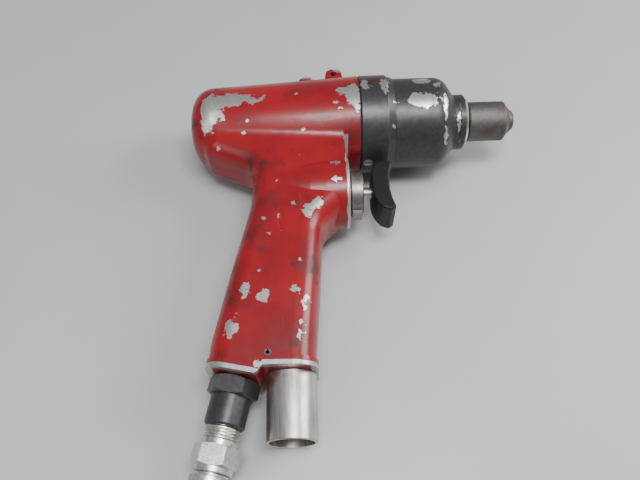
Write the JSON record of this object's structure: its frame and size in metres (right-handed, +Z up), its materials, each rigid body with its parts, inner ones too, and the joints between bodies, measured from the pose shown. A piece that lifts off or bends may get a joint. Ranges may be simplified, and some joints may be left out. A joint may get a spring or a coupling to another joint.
{
  "type": "impact wrench",
  "caption": "Pistol-grip air impact wrench with quick-change hex chuck, trigger, reverse ring, exhaust tube and swivel air inlet, lying on its side.",
  "frame": {"origin": "centre of the bounding box's bottom face", "axes": "+X towards the nose, level; +Y towards the top of the tool, so the handle runs to -Y; +Z up from the floor the tool lies on"},
  "size_m": [0.1726, 0.2408, 0.0526],
  "materials": {
    "red_paint": "worn gloss enamel on cast aluminium",
    "black_steel": "black oxide, worn bright on the edges",
    "dark_steel": "phosphated steel",
    "burnished_steel": "handled steel",
    "steel": "ground steel",
    "stainless": "brushed stainless tube",
    "nickel": "nickel plate",
    "aluminium": "machined",
    "black_plastic": "moulded, satin",
    "rubber": "matt",
    "gasket_paper": "fibre gasket",
    "brass": "sintered bronze",
    "blade": "cotton and resin laminate"
  },
  "bodies": {
    "tool": {"motor_housing": "red_paint", "top_plug": "steel", "roll_pin": "dark_steel", "direction_marks": "aluminium", "case_gasket": "gasket_paper", "front_case": "black_steel", "case_band": "black_steel", "case_screws": "steel", "nose_ring": "black_steel", "anvil_bushing": "brass", "nose_seal": "rubber", "rear_end_plate": "steel", "rear_bearing": "steel", "motor_cylinder": "dark_steel", "front_end_plate": "steel", "front_bearing": "steel", "cylinder_pin": "steel", "detent_ball": "steel", "detent_spring": "steel", "trigger_bushing": "brass", "valve_seat": "brass", "throttle_spring": "steel", "inlet_bushing": "black_steel", "inlet_screen": "steel", "inlet_adaptor": "nickel", "exhaust_tube": "stainless", "exhaust_baffle": "brass"},
    "motor": {"rotor": "steel", "rotor_blades": "blade", "hammer_cage": "dark_steel", "hammer_pins": "steel"},
    "rear_hammer": {"hammer_rear": "dark_steel"},
    "front_hammer": {"hammer_front": "dark_steel"},
    "spindle": {"anvil": "dark_steel", "chuck_balls": "steel", "chuck_spring": "steel", "chuck_cap": "dark_steel", "chuck_retaining_ring": "dark_steel"},
    "sleeve": {"chuck_sleeve": "dark_steel"},
    "reverse": {"reverse_ring": "burnished_steel", "reverse_valve": "steel"},
    "trigger": {"trigger_rod": "steel", "trigger_pad": "black_plastic", "throttle_valve": "rubber"},
    "plug": {"swivel_plug": "nickel", "swivel_o_ring": "rubber"}
  },
  "joints": [
    {"name": "motor_spin", "type": "hinge", "parent": "tool", "child": "motor", "pos_m": [-0.04779, 0.08163, 0.02327], "axis": [0.9986, 0, 0.0531], "continuous": true},
    {"name": "rear_hammer_rock", "type": "hinge", "parent": "motor", "child": "rear_hammer", "pos_m": [0.0081, 0.09521, 0.02684], "axis": [0.9986, 0, 0.0531], "range_deg": [-2, 2]},
    {"name": "front_hammer_rock", "type": "hinge", "parent": "motor", "child": "front_hammer", "pos_m": [0.02814, 0.06804, 0.0267], "axis": [0.9986, 0, 0.0531], "range_deg": [-2, 2]},
    {"name": "spindle_spin", "type": "hinge", "parent": "tool", "child": "spindle", "pos_m": [0.05207, 0.08163, 0.02858], "axis": [0.9986, 0, 0.0531], "continuous": true},
    {"name": "sleeve_slide", "type": "slide", "parent": "spindle", "child": "sleeve", "axis": [0.9986, 0, 0.0531], "range_m": [0, 0.003], "stiffness_N_per_m": 1200, "springref_m": -0.002, "deforming": ["chuck_spring"]},
    {"name": "reverse_turn", "type": "hinge", "parent": "tool", "child": "reverse", "pos_m": [-0.00075, 0.03667, 0.02378], "axis": [0.9986, 0, 0.0531], "range_deg": [-30, 30]},
    {"name": "trigger_pull", "type": "slide", "parent": "tool", "child": "trigger", "axis": [-0.9986, 0, -0.0531], "range_m": [0, 0.004], "stiffness_N_per_m": 1500, "springref_m": -0.003, "deforming": ["throttle_spring"]},
    {"name": "plug_swivel", "type": "hinge", "parent": "tool", "child": "plug", "pos_m": [-0.06496, -0.09563, 0.01452], "axis": [-0.2053, -0.9772, -0.0541], "continuous": true}
  ]
}
